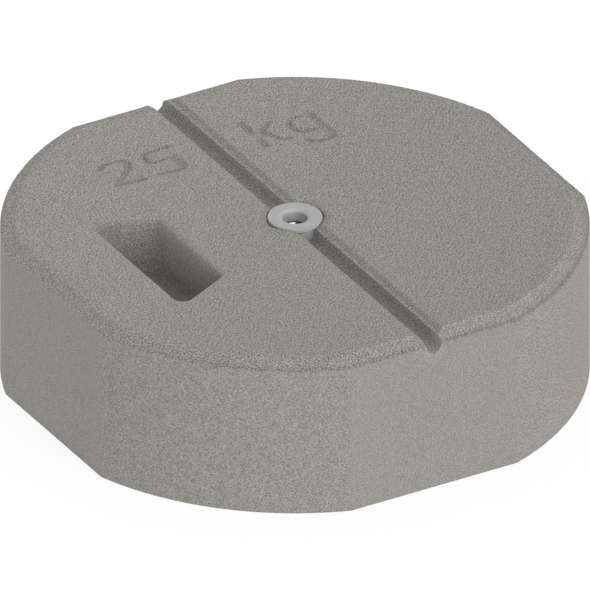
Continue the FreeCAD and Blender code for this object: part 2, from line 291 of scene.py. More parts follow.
# the channel's two runs: each point of the section goes from its flat to the recess round the flange
runShare = np.linspace(0, 1, channel["steps"] + 1)[:, None]
runOut = block["flatReach"] - sectionInset
runIn = np.sqrt(seat["recess"] ** 2 - sectionX ** 2)
runY = runOut + (runIn - runOut) * runShare
deepX = sectionX[recessRow:]
deepDepth = sectionDepth[recessRow:]
ringShare = np.linspace(0, 1, seat["rings"] + 1)[:, None]
ringRadius = seat["recess"] + (seat["neck"] - seat["recess"]) * ringShare
# each side's section carries its painted light and shade by depth
for side, toneName in ((-1, "leftTone"), (1, "rightTone")):
    tone = np.interp(sectionDepth, channel["toneDepths"], channel[toneName])
    for end in (-1, 1):
        addGrid(side * sectionX, end * runY, sectionDepth, 1.0, tone)
        addGrid(side * deepX, end * np.sqrt(ringRadius ** 2 - deepX ** 2), deepDepth, 1.0, tone[recessRow:])


def seatRows(x, radius):
    # each row is an arc of its radius about the centre, clear of the channel's half width x
    first = np.arcsin(np.asarray(x, float) / radius)[:, None]
    angle = first + (math.pi - 2 * first) * np.linspace(0, 1, seat["steps"] + 1)
    return radius[:, None] * np.sin(angle), -radius[:, None] * np.cos(angle)


# the seat of the bush: recess wall, recess floor, neck wall, then the hidden hole down to a closed floor
recessX, recessY = seatRows(sectionX[: recessRow + 1], np.full(recessRow + 1, seat["recess"]))
floorX, floorY = seatRows(np.full(seat["rings"] + 1, deepX[0]), ringRadius[:, 0])
neckX, neckY = seatRows(deepX, np.full(len(deepX), seat["neck"]))
holeRadius, holeDepth = np.array(seat["hole"]).T
holeX, holeY = seatRows(0 * holeRadius[:-1], holeRadius[:-1])
holeX = np.vstack([holeX, 0 * holeX[:1]])
holeY = np.vstack([holeY, 0 * holeY[:1]])
# the seat's surfaces carry painted shade
for side in (-1, 1):
    addGrid(side * recessX, recessY, sectionDepth[: recessRow + 1, None], 1.0, seat["wallTone"])
    addGrid(side * floorX, floorY, seat["recessDepth"], 1.0, seat["floorTone"])
    addGrid(side * neckX, neckY, deepDepth[:, None], 1.0, seat["floorTone"])
    addGrid(side * holeX, holeY, holeDepth[:, None], 1.0, seat["floorTone"])
print("channel and bush seat", runY.shape)

pocket = {
    "corners": [(-116.65, 59.6), (-116.65, -59.6), (-75.0, -39.45), (-75.0, 39.45)],
    "sideSteps": [80, 30, 54, 30],
    "cornerRound": 6.0,
    "cornerSteps": 9,
    "smallestRound": 0.4,
    "depth": 36.7,
    "draft": 3.0,
    "rimRound": 3.0,
    "rimSteps": 8,
    "wallSteps": 12,
    "floorRound": 6.0,
    "floorSteps": 9,
    "floorRings": [1.0, 0.85, 0.65, 0.42, 0.2, 0.0],
    "grain": 0.75,
    "grainY": [36, 42],      # past this y, on the farther wall, the grain is the second of grains
    "grains": [0.75, 0.95],
    # tone of its walls by depth, one row for each y; the farther wall, past y = 40, is the lightest
    "shadeY": [-39, -30, -20, 0, 20, 36, 42],
    "shadeDepths": [0, 1, 3, 5, 8, 12, 16, 20, 24, 28, 32, 34.5, 36.7],
    "shade": [
        [1.0, 1.05, 1.05, 0.90, 0.75, 0.75, 0.80, 0.85, 0.85, 0.85, 0.80, 0.64, 0.60],
        [1.0, 1.12, 1.13, 1.03, 0.86, 0.88, 0.85, 0.90, 0.90, 0.90, 0.80, 0.64, 0.60],
        [1.0, 1.07, 1.18, 1.20, 1.11, 0.99, 0.93, 0.95, 0.93, 0.90, 0.82, 0.60, 0.68],
        [1.0, 1.07, 1.28, 1.20, 1.08, 1.09, 0.96, 1.01, 0.99, 0.98, 0.84, 0.57, 0.68],
        [1.0, 1.07, 1.30, 1.23, 1.06, 1.10, 1.08, 1.10, 1.14, 1.07, 0.80, 0.63, 0.70],
        [0.97, 0.98, 1.24, 1.28, 1.18, 1.24, 1.12, 1.19, 1.18, 1.09, 1.09, 0.78, 0.68],
        [0.98, 0.96, 1.13, 1.24, 1.21, 1.24, 1.31, 1.31, 1.34, 1.31, 1.14, 0.95, 0.86],
    ],
    "floorShadeY": [-20, 10, 30],
    "floorShade": [0.60, 0.76, 0.83],
}


def pocketOutlines(offset, rounds):
    # the pocket's four sides moved out by an offset, one outline to a row: the moved sides meet again in new
    # corners, and each corner is an arc between the two sides' normals
    corners = np.array(pocket["corners"])
    following = np.roll(corners, -1, axis=0)
    along = (following - corners) / np.linalg.norm(following - corners, axis=1)[:, None]
    normal = np.stack([along[:, 1], -along[:, 0]], axis=1)
    before = np.roll(normal, 1, axis=0)
    rounds = rounds[:, None, None]
    meet = (before + normal) / (1 + (before * normal).sum(axis=1))[:, None]
    centre = corners + offset[:, None, None] * meet - rounds * meet
    first = np.arctan2(before[:, 1], before[:, 0])
    sweep = (np.arctan2(normal[:, 1], normal[:, 0]) - first) % (2 * math.pi)
    rows = []
    for corner, steps in enumerate(pocket["sideSteps"]):
        angle = first[corner] + sweep[corner] * np.linspace(0, 1, pocket["cornerSteps"] + 1)
        arc = centre[:, corner, None, :] + rounds * np.stack([np.cos(angle), np.sin(angle)], axis=-1)
        finish = centre[:, (corner + 1) % 4, :] + rounds[:, 0] * normal[corner]
        share = np.linspace(0, 1, steps + 1)[1:-1, None]
        rows += [arc, arc[:, -1:, :] + (finish[:, None, :] - arc[:, -1:, :]) * share]
    rows.append(rows[0][:, :1, :])
    loop = np.concatenate(rows, axis=1)
    return loop[..., 0], loop[..., 1]


# pocket rows: rim round, drafted wall, floor round, floor closing on the middle
draft = math.radians(pocket["draft"])
rimReach = pocket["rimRound"] / math.tan((math.pi / 2 + draft) / 2)
rimAngle = np.linspace(0, math.pi / 2 - draft, pocket["rimSteps"] + 1)
rimDepth = pocket["rimRound"] * (1 - np.cos(rimAngle))
floorStart = pocket["depth"] - pocket["floorRound"]
floorAngle = np.linspace(0, math.pi / 2, pocket["floorSteps"] + 1)[1:]
pocketWall = np.linspace(rimDepth[-1], floorStart, pocket["wallSteps"] + 1)[1:]
pocketDepth = np.concatenate([rimDepth, pocketWall, floorStart + pocket["floorRound"] * np.sin(floorAngle)])
pocketOffset = np.concatenate([
    rimReach - pocket["rimRound"] * np.sin(rimAngle),
    -pocketWall * math.tan(draft),
    -floorStart * math.tan(draft) - pocket["floorRound"] * (1 - np.cos(floorAngle)),
])
floorInset = np.clip(-floorStart * math.tan(draft) - pocketOffset, 0, None)
cornerRounds = pocket["cornerRound"] + np.clip(pocketOffset, 0, None) - floorInset
pocketX, pocketY = pocketOutlines(pocketOffset, np.maximum(cornerRounds, pocket["smallestRound"]))
shades = np.array([np.interp(pocketDepth, pocket["shadeDepths"], row) for row in pocket["shade"]])
pocketTone = np.array([np.interp(y, pocket["shadeY"], column) for y, column in zip(pocketY, shades.T)])
pocketGrain = np.interp(pocketY, pocket["grainY"], pocket["grains"])
addGrid(pocketX, pocketY, pocketDepth[:, None], pocketGrain, pocketTone)
middleX, middleY = pocketX[-1].mean(), pocketY[-1].mean()
closing = np.array(pocket["floorRings"])[:, None]
closingX = middleX + (pocketX[-1] - middleX) * closing
closingY = middleY + (pocketY[-1] - middleY) * closing
floorTone = np.interp(closingY, pocket["floorShadeY"], pocket["floorShade"])
addGrid(closingX, closingY, pocket["depth"], pocket["grain"], floorTone)
print("pocket", pocketX.shape)

# the weight mark: each figure is made of sunk strokes along these lines
mark = {
    "halfWidth": 2.7,
    "slope": 2.05,         # how far the sides of a stroke slope
    "depth": 1.95,
    "shade": 0.08,
    "cell": 0.5,
    "fill": (29.4, 100.6, 4.0, 4.2, 0.75),      # a stem part filled with mortar: centre, half sizes, share
    "windows": {
        "two": (-82.0, -52.5, 83.5, 122.5),
        "five": (-51.5, -21.0, 83.5, 122.5),
        "k": (22.5, 50.0, 83.0, 124.5),
        "g": (50.5, 80.5, 69.5, 114.0),
    },
    # each stroke: share of the width, share of the depth, its points
    "strokes": {
        "two": [
            (1.0, 1.0, [(-76.6, 113.7), (-74.6, 116.0), (-71.8, 117.3), (-68.4, 118.0), (-64.4, 118.1),
                        (-61.0, 117.3), (-58.8, 115.6), (-57.9, 113.0)]),
            (1.25, 0.95, [(-57.9, 113.0), (-58.1, 110.6), (-59.5, 107.6), (-62.8, 104.2), (-67.6, 100.1),
                          (-72.8, 95.8), (-75.6, 93.2)]),
            (1.15, 1.0, [(-76.4, 91.6), (-58.4, 89.8)]),
        ],
        "five": [
            (1.0, 1.0, [(-25.6, 118.0), (-33.0, 117.8), (-40.6, 117.6), (-43.3, 116.8), (-44.8, 114.6),
                        (-45.4, 111.4), (-45.4, 107.8), (-44.2, 105.4), (-41.0, 104.7), (-33.0, 105.6),
                        (-29.4, 105.6)]),
            (1.38, 0.95, [(-29.8, 105.0), (-28.2, 102.6), (-27.8, 98.5), (-28.0, 93.2)]),
            (1.0, 1.0, [(-28.0, 93.2), (-28.8, 90.3), (-31.6, 89.4), (-38.0, 89.4), (-45.6, 90.2)]),
        ],
        "k": [
            (1.2, 0.9, [(29.4, 87.6), (29.4, 120.2)]),
            (1.1, 0.9, [(44.4, 111.6), (37.4, 105.4), (34.6, 99.6)]),
            (1.0, 1.0, [(36.8, 100.4), (41.2, 91.8), (44.2, 89.2), (47.2, 88.8)]),
        ],
        "g": [
            (1.4, 0.8, [(73.0, 109.4), (73.1, 80.8)]),
            (1.0, 1.0, [(73.8, 80.4), (73.0, 77.6), (70.6, 76.2), (66.8, 75.8), (61.2, 76.2), (57.4, 77.6),
                        (56.0, 80.6)]),
            (1.0, 0.8, [(72.4, 106.6), (71.0, 108.0), (68.0, 109.0), (62.0, 109.4), (58.2, 108.4),
                        (56.2, 106.0)]),
            (1.05, 1.0, [(56.2, 106.0), (55.2, 102.5), (55.0, 98.0), (56.0, 94.4), (58.2, 91.8),
                         (61.8, 90.4), (66.2, 90.3), (70.0, 91.6), (72.4, 93.8)]),
        ],
    },
}


def strokeDistance(x, y, line):
    # distance from every grid point to a run of straight pieces, its foot held to each piece's ends
    line = np.array(line)
    start, reach = line[:-1], np.diff(line, axis=0)
    acrossX = x[..., None] - start[:, 0]
    acrossY = y[..., None] - start[:, 1]
    share = np.clip((acrossX * reach[:, 0] + acrossY * reach[:, 1]) / (reach ** 2).sum(axis=1), 0, 1)
    return np.hypot(acrossX - share * reach[:, 0], acrossY - share * reach[:, 1]).min(axis=-1)


def addFigure(name):
    # a window of the top face round one figure: the deepest stroke at each point counts, its sides eased at
    # top and bottom; gives back the window's rim
    left, right, near, far = mark["windows"][name]
    across = np.linspace(left, right, round((right - left) / mark["cell"]) + 1)
    up = np.linspace(near, far, round((far - near) / mark["cell"]) + 1)
    x, y = np.meshgrid(across, up)
    share = np.max([
        deep * np.clip((mark["halfWidth"] * wide - strokeDistance(x, y, line)) / mark["slope"], 0, 1)
        for wide, deep, line in mark["strokes"][name]], axis=0)
    fillX, fillY, fillWidth, fillHeight, fillShare = mark["fill"]
    filled = np.exp(-((x - fillX) / fillWidth) ** 4 - ((y - fillY) / fillHeight) ** 4)
    share = share * (1 - fillShare * filled)
    addGrid(x, y, mark["depth"] * share * share * (3 - 2 * share), 1.0, 1 - mark["shade"] * share)
    rimX = np.concatenate([x[0, :-1], x[:-1, -1], x[-1, :0:-1], x[:0:-1, 0]])
    rimY = np.concatenate([y[0, :-1], y[:-1, -1], y[-1, :0:-1], y[:0:-1, 0]])
    return np.stack([rimX, rimY], axis=1)


figureRims = {-1: [addFigure("two"), addFigure("five")], 1: [addFigure("k"), addFigure("g")]}
print("weight mark", list(mark["windows"]))

topFace = {
    "reach": 176,          # of the grid that its points come from
    "cell": 5.5,           # between the points inside
    "scatter": 1.2,        # how far they are moved off their grid
    "clear": 2.5,          # of every rim
    "mergeReach": 1e-7,
}


def insideLoop(points, loop):
    # crossings of a ray to the right with every side of the loop; an odd count is inside
    following = np.roll(loop, -1, axis=0)
    pointY = points[:, 1][:, None]
    spans = (loop[:, 1] > pointY) != (following[:, 1] > pointY)
    rise = following[:, 1] - loop[:, 1]
    rise = np.where(rise == 0, 1e-12, rise)
    crossing = loop[:, 0] + (pointY - loop[:, 1]) / rise * (following[:, 0] - loop[:, 0])
    return (spans & (points[:, 0][:, None] < crossing)).sum(axis=1) % 2 == 1


def topRims(side):
    # the outline of one half of the top, then its holes
    outline = np.concatenate([
        np.stack([outlineX[0, :-1], outlineY[0, :-1]], axis=1),
        np.stack([np.full(channel["steps"], sectionX[0]), runY[:-1, 0]], axis=1),
        np.stack([recessX[0, :0:-1], recessY[0, :0:-1]], axis=1),
        np.stack([np.full(channel["steps"], sectionX[0]), -runY[:0:-1, 0]], axis=1),
    ]) * np.array([side, 1])
    pocketRims = [np.stack([pocketX[0, :-1], pocketY[0, :-1]], axis=1)] if side < 0 else []
    return [outline] + figureRims[side] + pocketRims


def onTopFace(points, rims):
    return insideLoop(points, rims[0]) & ~np.any([insideLoop(points, hole) for hole in rims[1:]], axis=0)


def addTopHalf(side):
    # the flat of the top between its outline and its holes, as triangles that keep every edge of both
    rims = topRims(side)
    rimPoints = np.concatenate(rims)
    lines = np.arange(-topFace["reach"], topFace["reach"], topFace["cell"])
    acrossGrid, upGrid = np.meshgrid(lines, lines)
    inner = np.stack([acrossGrid.ravel(), upGrid.ravel()], axis=1)
    inner = inner + random.uniform(-topFace["scatter"], topFace["scatter"], inner.shape)
    inner = inner[onTopFace(inner, rims)]
    gap = np.sqrt(((inner[:, None, :] - rimPoints[None, ::2, :]) ** 2).sum(axis=2)).min(axis=1)
    points = np.concatenate([rimPoints, inner[gap > topFace["clear"]]])
    starts = np.cumsum([0] + [len(rim) for rim in rims])
    edges = []
    for start, rim in zip(starts, rims):
        index = start + np.arange(len(rim))
        edges += np.stack([index, np.roll(index, -1)], axis=1).tolist()
    made = delaunay_2d_cdt([Vector(p) for p in points.tolist()], edges, [], 0, topFace["mergeReach"])
    flat = np.array([tuple(v) for v in made[0]])
    triangles = np.array(made[2])
    kept = triangles[onTopFace(flat[triangles].mean(axis=1), rims)]
    points = np.column_stack([flat, np.full(len(flat), block["height"])])
    blockPatches.append((points, kept, np.ones(len(flat)), np.ones(len(flat))))
    return len(flat), len(kept)


print("top face", addTopHalf(-1), addTopHalf(1))


def putMesh(name, patches, creaseAngle, mergeReach=4e-6):
    # patches are joined where their rims touch; the closed skin is turned outwards and shaded with creases
    counts = np.cumsum([0] + [len(patch[0]) for patch in patches])
    faces = []
    for start, patch in zip(counts, patches):
        faces += (patch[1] + start).tolist()
    mesh = bpy.data.meshes.new(name)
    mesh.from_pydata(np.concatenate([patch[0] for patch in patches]) * millimetre, [], faces)
    for layer, column in (("grain", 2), ("tone", 3)):
        values = np.concatenate([patch[column] for patch in patches]).astype(np.float32)
        mesh.attributes.new(layer, "FLOAT", "POINT").data.foreach_set("value", values)
    work = bmesh.new()
    work.from_mesh(mesh)
    bmesh.ops.remove_doubles(work, verts=work.verts, dist=mergeReach)
    loose = [v for v in work.verts if not v.link_faces]
    bmesh.ops.delete(work, geom=loose, context="VERTS")
    bmesh.ops.recalc_face_normals(work, faces=work.faces)
    openEdges = sum(1 for e in work.edges if len(e.link_faces) != 2)
    volume = work.calc_volume(signed=True)
    work.to_mesh(mesh)
    work.free()
    mesh.polygons.foreach_set("use_smooth", np.ones(len(mesh.polygons), bool))
    mesh.set_sharp_from_angle(angle=math.radians(creaseAngle))
    mesh.validate()
    mesh.update()
    piece = bpy.data.objects.new(name, mesh)
    bpy.context.scene.collection.objects.link(piece)
    triangles = sum(len(p.vertices) - 2 for p in mesh.polygons)
    print(name, "triangles", triangles, "open edges", openEdges, "litres", round(volume * 1000, 4))
    return piece


cover = {
    # painted shade in the gap behind the flange, by azimuth, darkens the recess wall within this reach of
    # its round
    "gapShadeReach": 0.3,
    "gapShadeDepth": 2.3,
    "gapShadeAt": [0, 60, 100, 120, 290, 310, 360],
    "gapShade": [0.2, 0.17, 0.15, 0, 0, 0.2, 0.2],
    # the top gains a little light towards its far side
    "topDepth": 5,
    "topTilt": (-0.0001, 0.00024),
    "topOffset": -0.012,
    # the channel's skin is lighter beside the neck, and its tone changes along the runs, by y
    "channelDepths": (1.7, 11.5),
    "channelMargin": 0.6,
    "neckLight": 0.3,
    "neckReach": [15.5, 17.5, 18.6],
    "runFrom": 17,
    "runDepths": (1.7, 2.92),
    "runAt": [-176, -168, -160, -60, -19, 19, 30, 60, 165, 176],
    "runTone": [1.08, 1.04, 0.975, 0.98, 1.0, 1.14, 1.1, 1.09, 1.08, 1.0],
    "rightEndAt": [-176, -172, -165, -158],
    "rightEnd": [0.04, 0.12, 0.12, 0],
}
wear = {
    # a chip out of the left edge at the farther end of the channel: centre, half sizes, depth, and the
    # heights over which it fades
    "chipAt": (-6.4, 170.6),
    "chipSize": (2.2, 2.6),
    "chipDepth": 1.15,
    "chipHeights": [100, 103],
    # how far the recess lies off its round, by azimuth: widest at 185 degrees, narrow at 20, 145 and 225
    "azimuth": [0, 20, 60, 100, 125, 145, 160, 168, 176, 183, 190, 195, 200, 206, 215, 234, 242, 250, 300,
                330, 360],
    "moved": [-0.3, -0.5, -0.1, 0.1, -0.1, -0.4, -0.35, 0.1, 0.8, 1.4, 1.4, 0.9, 0.5, 0, -0.4, -0.4, 0.4,
              0.3, 0.1, 0.1, -0.3],
    "movedReach": [15.7, 17.6, 19.0, 32.0],
    "movedFrom": 97,       # height
}


def shadeSkin(points, tone):
    # each of the changes that cover names multiplies the tone of one patch where it applies
    x, y, z = points.T
    depth = block["height"] - z
    reach = np.hypot(x, y)
    # painted shade in the gap round the flange, on the recess wall
    atRecess = (abs(reach - seat["recess"]) < cover["gapShadeReach"]) & (depth < cover["gapShadeDepth"])
    tone *= 1 - np.interp(azimuthOf(x, y), cover["gapShadeAt"], cover["gapShade"]) * atRecess
    tiltX, tiltY = cover["topTilt"]
    tone *= 1 + (tiltX * x + tiltY * y + cover["topOffset"]) * (depth < cover["topDepth"])
    above, below = cover["channelDepths"]
    inChannel = (abs(x) < channel["halfWidth"] + cover["channelMargin"]) & (depth > above) & (depth < below)
    tone *= 1 + cover["neckLight"] * inChannel * np.interp(reach, cover["neckReach"], [1, 1, 0])
    alongRun = np.interp(y, cover["runAt"], cover["runTone"])
    alongRun = alongRun + (x > 0) * np.interp(y, cover["rightEndAt"], cover["rightEnd"])
    leftDepth, rightDepth = cover["runDepths"]
    onRun = inChannel & (depth > np.where(x > 0, rightDepth, leftDepth)) & (reach > cover["runFrom"])
    tone *= 1 + (alongRun - 1) * onRun


def wearSkin(points):
    # the chip is a bell-shaped dip; the points of the recess move along the radius, most at its own edge and
    # not at all at the neck
    x, y, z = points.T
    reach = np.hypot(x, y)
    near = np.interp(reach, wear["movedReach"], [0, 1, 1, 0]) * (z > wear["movedFrom"])
    moved = near * np.interp(azimuthOf(x, y), wear["azimuth"], wear["moved"])
    chipX, chipY = wear["chipAt"]
    acrossChip, alongChip = wear["chipSize"]
    dip = np.exp(-((x - chipX) / acrossChip) ** 2 - ((y - chipY) / alongChip) ** 2)
    points[:, 2] -= wear["chipDepth"] * dip * np.interp(z, wear["chipHeights"], [0, 1])
    points[:, :2] *= (1 + moved / np.maximum(reach, 1))[:, None]


for points, _, _, tone in blockPatches:
    shadeSkin(points, tone)
    wearSkin(points)
concreteBlock = putMesh("concreteBlock", blockPatches, block["crease"])

bush = {
    "steps": 120,
    "crease": 30,
    "top": 109.6,
    "flange": 17.5,
    "flangeThick": 2.4,
    "edgeRound": 1.0,
    "edgePoints": 7,
    "lowerRound": 0.12,
    "lowerPoints": 4,
    "neck": 15.5,
    "neckShoulder": 95.6,
    "sleeve": 10.0,
    "neckFoot": 90.1,
    "sleeveFoot": 85.6,
    "bore": 7.95,
    # the mouth's section, from the bore up to the flange: a lead-in with a soft upper edge
    "mouthSection": [(7.95, 107.8), (7.97, 107.97), (8.07, 108.12), (8.65, 108.6), (9.2, 109.0),
                     (9.65, 109.3), (10.05, 109.48), (10.7, 109.6)],
    "overSocket": 8.6,
    # heights of the rows of points in the bore, with their tones of painted light and shade, round the neck
    # and beside the socket
    "boreRows": [101.0, 102.2, 104.0, 106.4],
    "boreTones": [0.88, 1.16, 1.04, 1.0],
    "neckRows": [106.2, 105.5, 104.9, 102.4, 99.0],
    "socketRow": 93.5,
    "sideRow": 107.9,
    "seatRow": 16.0,      # and radii of rows under and on the flange
    "topRows": [12.6, 15.4],
    # places on the skin that have tones of their own, between two radii and two heights
    "zones": {
        "neck": (10.1, 16.2, 90.0, 107.25),
        "side": (17.1, 18.0, 107.0, 109.0),
        "lowEdge": (17.1, 18.0, 107.0, 107.4),
        "edge": (16.75, 18.0, 109.0, 109.58),
        "rim": (16.6, 18.0, 109.2, 110.0),
        "mouth": (7.0, 9.75, 107.9, 110.0),
        "bore": (7.0, 7.97, 100.0, 107.9),
    },
    # painted light and shade by degrees round the bush: on the flange's side and what its lower edge has
    # more, on the flange's upper edge and on the neck, and the painted shadow line round the neck under the
    # flange
    "sideAt": [0, 150, 180, 195, 215, 235, 250, 270, 290, 305, 330, 360],
    "sideTone": [1.1, 1.0, 0.85, 0.75, 0.8, 1.0, 1.15, 1.15, 1.2, 1.3, 1.2, 1.1],
    "lowEdge": [0, 0, 0, 0, 0, 0.4, 0.6, 0.45, 0, 0, 0, 0],
    "edgeTone": [1.0, 1.0, 1.0, 1.0, 1.0, 0.97, 0.93, 0.9, 0.9, 0.95, 1.0, 1.0],
    "neckTone": [1.2, 1.2, 1.2, 1.2, 1.2, 1.2, 1.2, 1.2, 1.32, 2.1, 1.8, 1.32],
    "underShade": [0, 0, 0, 0, 0.45, 0.6, 0.5, 0, 0, 0, 0, 0],
    "underHeights": [104.9, 105.5],
    # light from the front that the far side of the mouth and of the bore catch
    "shineAt": [0, 15, 37, 50, 60, 75, 93, 120, 150, 200, 330, 360],
    "mouthShine": [0, 0.08, 0.10, 0.12, 0.17, 0.27, 0.22, 0.08, 0.03, 0, 0, 0],
    "boreShine": [0, 0.08, 0.27, 0.40, 0.48, 0.48, 0.36, 0.3, 0.25, 0, 0, 0],
    "rimShineAt": [0, 20, 100, 130],
    "rimShine": [0, 0.04, 0.04, 0],
}
flangeSeat = bush["top"] - bush["flangeThick"]


def arcPoints(centre, radius, first, last, count):
    # points of an arc in the half plane of a turned profile, angles in degrees
    angle = np.radians(np.linspace(first, last, count))
    return np.column_stack([centre[0] + radius * np.cos(angle), centre[1] + radius * np.sin(angle)])


def turnedPatch(radii, heights, angle, tonesOf):
    # a grid of radii and heights carried round the upright axis, with the tones that its piece gives it
    radii, heights, angle = np.broadcast_arrays(radii, heights, angle)
    points = np.stack([radii * np.cos(angle), radii * np.sin(angle), heights], axis=-1).reshape(-1, 3)
    return points, gridFaces(*radii.shape), np.ones(len(points)), tonesOf(points)


def inZone(points, zone):
    # points between two radii and between two heights
    least, most, lowest, highest = zone
    reach = np.hypot(points[:, 0], points[:, 1])
    return (reach > least) & (reach < most) & (points[:, 2] > lowest) & (points[:, 2] < highest)


def bushProfile():
    # up the bore, over the mouth and the flange, down its side and the neck, and back up beside the socket
    edgeRound, lowerRound = bush["edgeRound"], bush["lowerRound"]
    edgeCentre = (bush["flange"] - edgeRound, bush["top"] - edgeRound)
    lowerCentre = (bush["flange"] - lowerRound, flangeSeat + lowerRound)
    neck, sleeve, inner, boreFoot = bush["neck"], bush["sleeve"], bush["overSocket"], bush["boreRows"][0]
    return np.vstack([
        [(bush["bore"], height) for height in bush["boreRows"]],
        bush["mouthSection"],
        [(radius, bush["top"]) for radius in bush["topRows"]],
        arcPoints(edgeCentre, edgeRound, 90, 0, bush["edgePoints"]),
        [(bush["flange"], bush["sideRow"])],
        arcPoints(lowerCentre, lowerRound, 0, -90, bush["lowerPoints"]),
        [(bush["seatRow"], flangeSeat), (neck, flangeSeat)],
        [(neck, height) for height in bush["neckRows"]],
        [(neck, bush["neckShoulder"]), (sleeve, bush["neckFoot"]), (sleeve, bush["sleeveFoot"])],
        [(inner, bush["sleeveFoot"]), (inner, bush["socketRow"]), (inner, boreFoot)],
        [(bush["bore"], boreFoot)],
    ])


def bushTones(points):
    # painted light and shade set by zone, then the painted highlights that the moulding's upper parts catch
    # added
    x, y, height = points.T
    facing = azimuthOf(x, y)

    def within(zone):
        return inZone(points, bush["zones"][zone])

    def byTurn(values, turns="sideAt"):
        return np.interp(facing, bush[turns], bush[values])

    underLine = byTurn("underShade") * np.interp(height, bush["underHeights"], [0, 1])
    tone = np.where(within("neck"), byTurn("neckTone") * (1 - underLine), 1.0)
    tone = np.where(within("side"), byTurn("sideTone") + byTurn("lowEdge") * within("lowEdge"), tone)
    tone = np.where(within("edge"), byTurn("edgeTone"), tone)
    boreTone = tone + byTurn("boreShine", "shineAt")
    boreTone = boreTone * np.interp(height, bush["boreRows"], bush["boreTones"])
    tone = np.where(within("bore"), boreTone, tone)
    tone = tone + within("mouth") * byTurn("mouthShine", "shineAt")
    return tone + within("rim") * byTurn("rimShine", "rimShineAt")


bushAngle = np.linspace(0, 2 * math.pi, bush["steps"] + 1)[:, None]
bushPatch = turnedPatch(*bushProfile().T, bushAngle, bushTones)
bushMoulding = putMesh("bushMoulding", [bushPatch], bush["crease"])

socket = {
    "steps": 72,
    "crease": 30,
    "top": 101.0,
    "outer": 8.5,
    "outerRows": [94.4, 85.6, 70.0],
    "foot": 12.0,
    "footTop": 53.0,
    "footLow": 49.0,
    "footEdge": 0.3,
    "footRing": 6.0,
    "leadIn": 1.9,
    "threadInner": 5.1,
    "threadOuter": 6.05,
    "pitch": 1.75,
    "rowsPerTurn": 8,
    "flank": 2.6,          # how steeply the thread's height rises over a share of the pitch
    "crest": 0.28,         # and how much of it is cut off
    "runOut": 3.0,
    "threadFloor": 61.0,
    "drillPoint": 57.936,
    # painted shade that keeps the plate near black, and the painted glint added on the lead-in, by degrees
    # round it
    "paintedShade": 0.06,
    "glint": 1.16,
    "glintAt": [56.5, 61.5, 95.5, 100.5],
    "leadInZone": (5.0, 8.4, 99.0, 100.8),
}


def socketInside(angle):
    # the radius is the thread's height over a helix, never less than the lead-in's cone; below it is the
    # drill's point
    step = socket["pitch"] / socket["rowsPerTurn"]
    threadZ = np.arange(socket["top"], socket["threadFloor"], -step)
    z, turn = np.meshgrid(threadZ, angle, indexing="ij")
    phase = (z / socket["pitch"] + turn / (2 * math.pi)) % 1.0
    rise = np.clip((0.5 - abs(phase - 0.5)) * socket["flank"] - socket["crest"], 0, 1)
    cone = socket["threadInner"] + socket["leadIn"] - (socket["top"] - z)
    fade = np.clip((z - socket["threadFloor"]) / socket["runOut"], 0, 1)
    threadHeight = socket["threadOuter"] - socket["threadInner"]
    radius = np.maximum(cone, socket["threadInner"] + threadHeight * rise * fade)
    level = np.ones((1, len(angle)))
    radii = np.vstack([level * socket["outer"], radius, level * 0])
    heights = np.vstack([level * socket["top"], z, level * socket["drillPoint"]])
    return radii, heights


def socketOutside():
    # a tube on a foot with soft edges
    foot, footEdge = socket["foot"], socket["footEdge"]
    top, low = socket["footTop"], socket["footLow"]
    profile = [(socket["outer"], height) for height in [socket["top"], *socket["outerRows"], top]]
    profile += [(foot - footEdge, top), (foot, top - footEdge)]
    profile += [(foot, low + footEdge), (foot - footEdge, low), (socket["footRing"], low), (0.0, low)]
    return np.array(profile).T[:, :, None]


def socketTones(points):
    # painted near black as shade, apart from the painted glint on part of the lead-in
    glint = np.interp(azimuthOf(points[:, 0], points[:, 1]), socket["glintAt"], [0, 1, 1, 0])
    return socket["paintedShade"] + socket["glint"] * glint * inZone(points, socket["leadInZone"])


socketAngle = np.linspace(0, 2 * math.pi, socket["steps"] + 1)
socketSides = (socketInside(socketAngle), socketOutside())
socketPatches = [turnedPatch(radii, heights, socketAngle, socketTones) for radii, heights in socketSides]
socketSleeve = putMesh("socketSleeve", socketPatches, socket["crease"])


class Signal:
    # a node's output; arithmetic on it adds Math nodes
    def __init__(self, finish, output):
        self.finish = finish
        self.output = output

    def combine(self, operation, first, second):
        return self.finish.node("ShaderNodeMath", {"operation": operation}, {0: first, 1: second})

    def __add__(self, other):
        return self.combine("ADD", self, other)

    __radd__ = __add__

    def __sub__(self, other):
        return self.combine("SUBTRACT", self, other)

    def __rsub__(self, other):
        return self.combine("SUBTRACT", other, self)

    def __mul__(self, other):
        return self.combine("MULTIPLY", self, other)

    __rmul__ = __mul__


class Finish:
    # one node tree; node() takes a type, its settings and its sockets' values or links
    def __init__(self, owner):
        owner.use_nodes = True
        self.owner = owner
        self.tree = owner.node_tree
        self.tree.nodes.clear()

    def node(self, kind, settings=None, sockets=None, output=0):
        made = self.tree.nodes.new(kind)
        for key, value in (settings or {}).items():
            setattr(made, key, value)
        for key, value in (sockets or {}).items():
            if isinstance(value, Signal):
                self.tree.links.new(value.output, made.inputs[key])
            else:
                made.inputs[key].default_value = value
        return Signal(self, made.outputs[output]) if len(made.outputs) else made

    def place(self):
        return self.node("ShaderNodeTexCoord", output="Object")

    def fromMesh(self, layer):
        return self.node("ShaderNodeAttribute", {"attribute_name": layer}, output="Fac")

    def noise(self, place, scale, detail=0.0, bend=0.0):
        return self.node("ShaderNodeTexNoise", None, {
            "Vector": place, "Scale": scale, "Detail": detail, "Distortion": bend})

    def tinted(self, colour, share):
        # a colour times a number that changes over the surface
        return self.node("ShaderNodeVectorMath", {"operation": "SCALE"}, {"Vector": colour, "Scale": share})

    def surface(self, sockets):
        shader = self.node("ShaderNodeBsdfPrincipled", None, sockets)
        self.node("ShaderNodeOutputMaterial", None, {"Surface": shader})
        return self.owner


